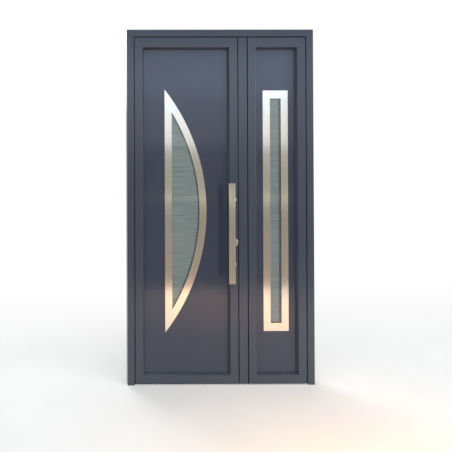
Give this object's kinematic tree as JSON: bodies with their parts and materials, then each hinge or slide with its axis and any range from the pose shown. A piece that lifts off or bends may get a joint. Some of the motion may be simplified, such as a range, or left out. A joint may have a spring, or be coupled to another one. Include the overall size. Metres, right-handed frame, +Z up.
{
  "type": "front door",
  "caption": "Aluminium front door in its frame: wide leaf with half-moon light and upright pull bar, narrow leaf with tall light, steel trims, lever, lock and flush bolts",
  "frame": {"origin": "middle of the threshold's underside, on the finished floor, half-way through the frame's depth", "axes": "+X to the right seen from outside, +Y into the building, +Z up"},
  "size_m": [1.155, 0.201, 2.195],
  "materials": {
    "painted_profiles": "semi-gloss powder coat, dark blue-grey",
    "painted_panels": "glossy dark blue-grey coating",
    "mill_aluminium": "mill finish",
    "stainless_steel": "brushed",
    "plated_steel": "zinc-plated",
    "hinge_steel": "semi-gloss powder coat, dark blue-grey",
    "nickel_brass": "satin nickel-plated",
    "clear_glass": "clear, polished",
    "black_rubber": "matt",
    "black_plastic": "matt"
  },
  "bodies": {
    "frame": {"left_jamb": "painted_profiles", "right_jamb": "painted_profiles", "head": "painted_profiles", "threshold": "mill_aluminium", "frame_seal": "black_rubber", "frame_corner_cleats": "mill_aluminium", "head_strike": "plated_steel", "active_frame_hinges": "hinge_steel", "side_frame_hinges": "hinge_steel", "active_hinge_pins": "hinge_steel", "side_hinge_pins": "hinge_steel"},
    "active_leaf": {"active_hinge_stile": "painted_profiles", "active_lock_stile": "painted_profiles", "active_top_rail": "painted_profiles", "active_bottom_rail": "painted_profiles", "active_corner_cleats": "mill_aluminium", "active_glazing_beads": "painted_profiles", "active_panel_gaskets": "black_rubber", "active_panel": "painted_panels", "active_outer_trim": "stainless_steel", "active_inner_trim": "stainless_steel", "active_glass": "clear_glass", "active_glass_spacer": "mill_aluminium", "active_bottom_brush": "black_plastic", "active_leaf_hinges": "hinge_steel", "active_meeting_seal": "black_rubber", "lock_faceplate": "plated_steel", "lock_cases": "plated_steel", "cylinder_body": "nickel_brass", "outer_rosette": "stainless_steel", "handle_plate": "stainless_steel", "pull_bar": "stainless_steel", "pull_bar_legs": "stainless_steel"},
    "side_leaf": {"side_meeting_stile": "painted_profiles", "side_hinge_stile": "painted_profiles", "side_top_rail": "painted_profiles", "side_bottom_rail": "painted_profiles", "side_corner_cleats": "mill_aluminium", "side_glazing_beads": "painted_profiles", "side_panel_gaskets": "black_rubber", "side_panel": "painted_panels", "side_outer_trim": "stainless_steel", "side_inner_trim": "stainless_steel", "side_glass": "clear_glass", "side_glass_spacer": "mill_aluminium", "side_bottom_brush": "black_plastic", "side_leaf_hinges": "hinge_steel", "astragal": "painted_profiles", "astragal_caps": "black_plastic", "lock_keeps": "plated_steel", "flush_bolt_plates": "plated_steel", "post_seal": "black_rubber"},
    "lever": {"lever": "stainless_steel", "spindle": "plated_steel"},
    "latch": {"latch": "plated_steel"},
    "key_cylinder": {"cylinder_plug": "nickel_brass", "thumbturn": "nickel_brass"},
    "lock_bolts": {"lock_bolts": "plated_steel"},
    "top_flush_bolt": {"top_flush_bolt": "plated_steel"},
    "bottom_flush_bolt": {"bottom_flush_bolt": "plated_steel"}
  },
  "joints": [
    {"name": "active_leaf_hinge", "type": "hinge", "parent": "frame", "child": "active_leaf", "pos_m": [-0.5505, 0.049, 0], "axis": [0, 0, 1], "range_deg": [0, 100]},
    {"name": "side_leaf_hinge", "type": "hinge", "parent": "frame", "child": "side_leaf", "pos_m": [0.5505, 0.049, 0], "axis": [0, 0, -1], "range_deg": [0, 100]},
    {"name": "lever_turn", "type": "hinge", "parent": "active_leaf", "child": "lever", "pos_m": [0.082, 0.087, 0.979], "axis": [0, -1, 0], "range_deg": [0, 40], "stiffness_Nm_per_rad": 1, "springref_deg": -28.65},
    {"name": "latch_slide", "type": "slide", "parent": "active_leaf", "child": "latch", "axis": [-1, 0, 0], "range_m": [0, 0.013]},
    {"name": "key_turn", "type": "hinge", "parent": "active_leaf", "child": "key_cylinder", "pos_m": [0.082, 0.043, 0.887], "axis": [0, 1, 0], "range_deg": [0, 360]},
    {"name": "bolts_throw", "type": "slide", "parent": "active_leaf", "child": "lock_bolts", "axis": [1, 0, 0], "range_m": [0, 0.02]},
    {"name": "top_flush_slide", "type": "slide", "parent": "side_leaf", "child": "top_flush_bolt", "axis": [0, 0, 1], "range_m": [0, 0.02]},
    {"name": "bottom_flush_slide", "type": "slide", "parent": "side_leaf", "child": "bottom_flush_bolt", "axis": [0, 0, -1], "range_m": [0, 0.009]}
  ],
  "couplings": [
    {"joint": "latch_slide", "follows": "lever_turn", "m_per_rad": 0.0186},
    {"joint": "bolts_throw", "follows": "key_turn", "m_per_rad": 0.00318}
  ]
}
